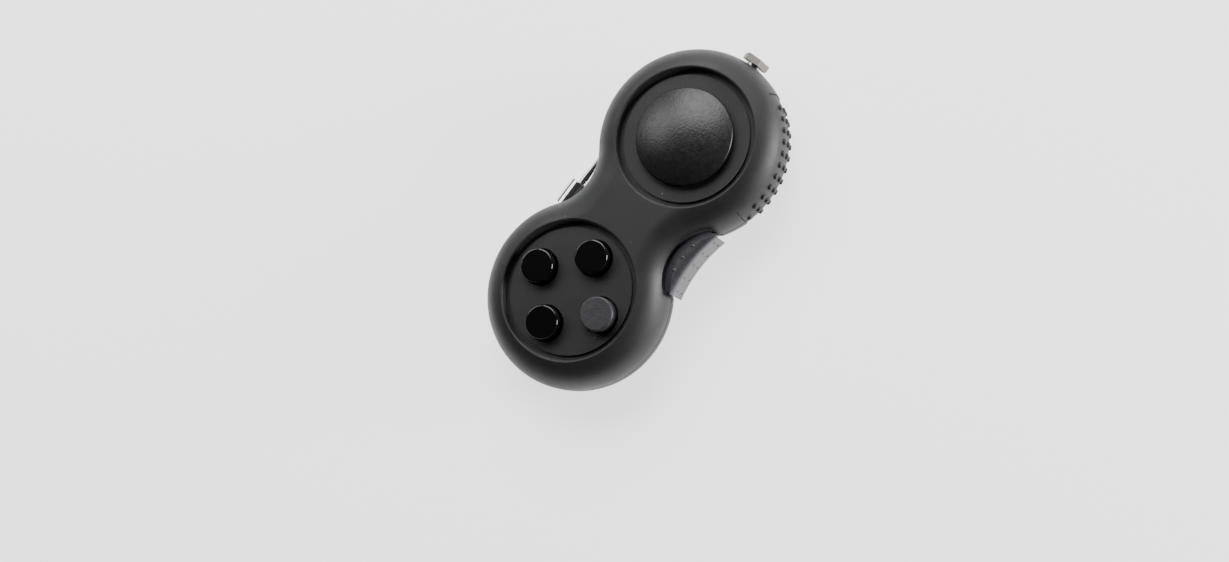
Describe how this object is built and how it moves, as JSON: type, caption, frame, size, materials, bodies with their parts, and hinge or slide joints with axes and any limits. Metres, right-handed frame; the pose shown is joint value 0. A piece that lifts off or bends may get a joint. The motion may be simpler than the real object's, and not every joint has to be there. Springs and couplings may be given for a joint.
{
  "type": "fidget pad",
  "caption": "Pocket fidget pad shaped as two round lobes on a waist, with push buttons, a sliding thumb joystick, a side rocker, a roller, a twist knob and a spin dial.",
  "frame": {"origin": "middle of the flat back face, midway between the two lobes' axes", "axes": "+Y from the button lobe to the joystick lobe, +X towards the rocker's side, +Z out of the face"},
  "size_m": [0.0427, 0.0861, 0.0184],
  "materials": {
    "soft_touch_black": "soft-touch coated ABS, fine matt grain",
    "grained_black": "semi-gloss moulded plastic with a pebbled grain",
    "button_gloss": "polished black plastic",
    "button_satin": "satin moulded black elastomer",
    "satin_black": "semi-gloss moulded black plastic",
    "black_rubber": "moulded black rubber",
    "dial_black": "glossy moulded black plastic",
    "grey_metal": "bead-blasted grey metal",
    "chrome": "polished chrome plate",
    "plain_steel": "bright steel",
    "blackened_screw": "black oxide steel",
    "silicone": "milky silicone rubber",
    "inner_abs": "plain moulded ABS",
    "inner_black": "plain moulded black plastic",
    "inner_acetal": "natural acetal"
  },
  "bodies": {
    "casing": {"front_shell": "soft_touch_black", "rear_shell": "soft_touch_black", "case_screws": "blackened_screw", "inner_screws": "plain_steel", "keypad_sheet": "silicone", "click_discs": "plain_steel", "button_base": "inner_abs", "joystick_guide": "inner_abs", "centring_web": "silicone", "rocker_pin": "plain_steel", "rocker_leaf": "plain_steel", "bump_strip": "black_rubber", "hex_washer": "inner_acetal", "roller_axle": "plain_steel", "dial_washer": "inner_acetal", "button_dome_right": "silicone", "button_dome_top": "silicone", "button_dome_left": "silicone", "button_dome_bottom": "silicone"},
    "button_right": {"button_cap_right": "button_satin"},
    "button_top": {"button_cap_top": "button_gloss"},
    "button_left": {"button_cap_left": "button_gloss"},
    "button_bottom": {"button_cap_bottom": "button_gloss"},
    "slider": {"joystick_slider": "inner_acetal"},
    "stick": {"joystick_cap": "grained_black", "joystick_stem": "inner_abs", "joystick_skirt": "inner_black"},
    "rocker": {"rocker_paddle": "satin_black"},
    "knob": {"hex_nut": "grey_metal", "hex_stud": "plain_steel", "hex_clip": "plain_steel"},
    "roller_carrier": {"roller_sleeve": "chrome"},
    "roller": {"roller_drum": "chrome"},
    "dial": {"spin_dial": "dial_black", "dial_spindle": "plain_steel", "dial_clip": "plain_steel"}
  },
  "joints": [
    {"name": "button_right_press", "type": "slide", "parent": "casing", "child": "button_right", "axis": [0, 0, -1], "range_m": [0, 0.0012], "stiffness_N_per_m": 350, "springref_m": -0.0004, "deforming": ["button_dome_right"]},
    {"name": "button_top_press", "type": "slide", "parent": "casing", "child": "button_top", "axis": [0, 0, -1], "range_m": [0, 0.0012], "stiffness_N_per_m": 350, "springref_m": -0.0004, "deforming": ["button_dome_top"]},
    {"name": "button_left_press", "type": "slide", "parent": "casing", "child": "button_left", "axis": [0, 0, -1], "range_m": [0, 0.0012], "stiffness_N_per_m": 350, "springref_m": -0.0004, "deforming": ["button_dome_left"]},
    {"name": "button_bottom_press", "type": "slide", "parent": "casing", "child": "button_bottom", "axis": [0, 0, -1], "range_m": [0, 0.0012], "stiffness_N_per_m": 350, "springref_m": -0.0004, "deforming": ["button_dome_bottom"]},
    {"name": "joystick_slide_y", "type": "slide", "parent": "casing", "child": "slider", "axis": [0, 1, 0], "range_m": [-0.0025, 0.0025], "stiffness_N_per_m": 200, "deforming": ["centring_web"]},
    {"name": "joystick_slide_x", "type": "slide", "parent": "slider", "child": "stick", "axis": [1, 0, 0], "range_m": [-0.0025, 0.0025], "stiffness_N_per_m": 200, "deforming": ["centring_web"]},
    {"name": "rocker_tip", "type": "hinge", "parent": "casing", "child": "rocker", "pos_m": [0.0106, 0, 0.008], "axis": [0, 0, 1], "range_deg": [-1.8, 1.8]},
    {"name": "knob_twist", "type": "hinge", "parent": "casing", "child": "knob", "pos_m": [0, 0.042, 0.008], "axis": [0, 1, 0], "continuous": true},
    {"name": "roller_slide", "type": "slide", "parent": "casing", "child": "roller_carrier", "axis": [0, 1, 0], "range_m": [0, 0.0043]},
    {"name": "roller_spin", "type": "hinge", "parent": "roller_carrier", "child": "roller", "pos_m": [-0.0159, -0.0045, 0.008], "axis": [0, 1, 0], "continuous": true},
    {"name": "dial_spin", "type": "hinge", "parent": "casing", "child": "dial", "pos_m": [0, 0.02075, 0.001], "axis": [0, 0, 1], "continuous": true}
  ]
}
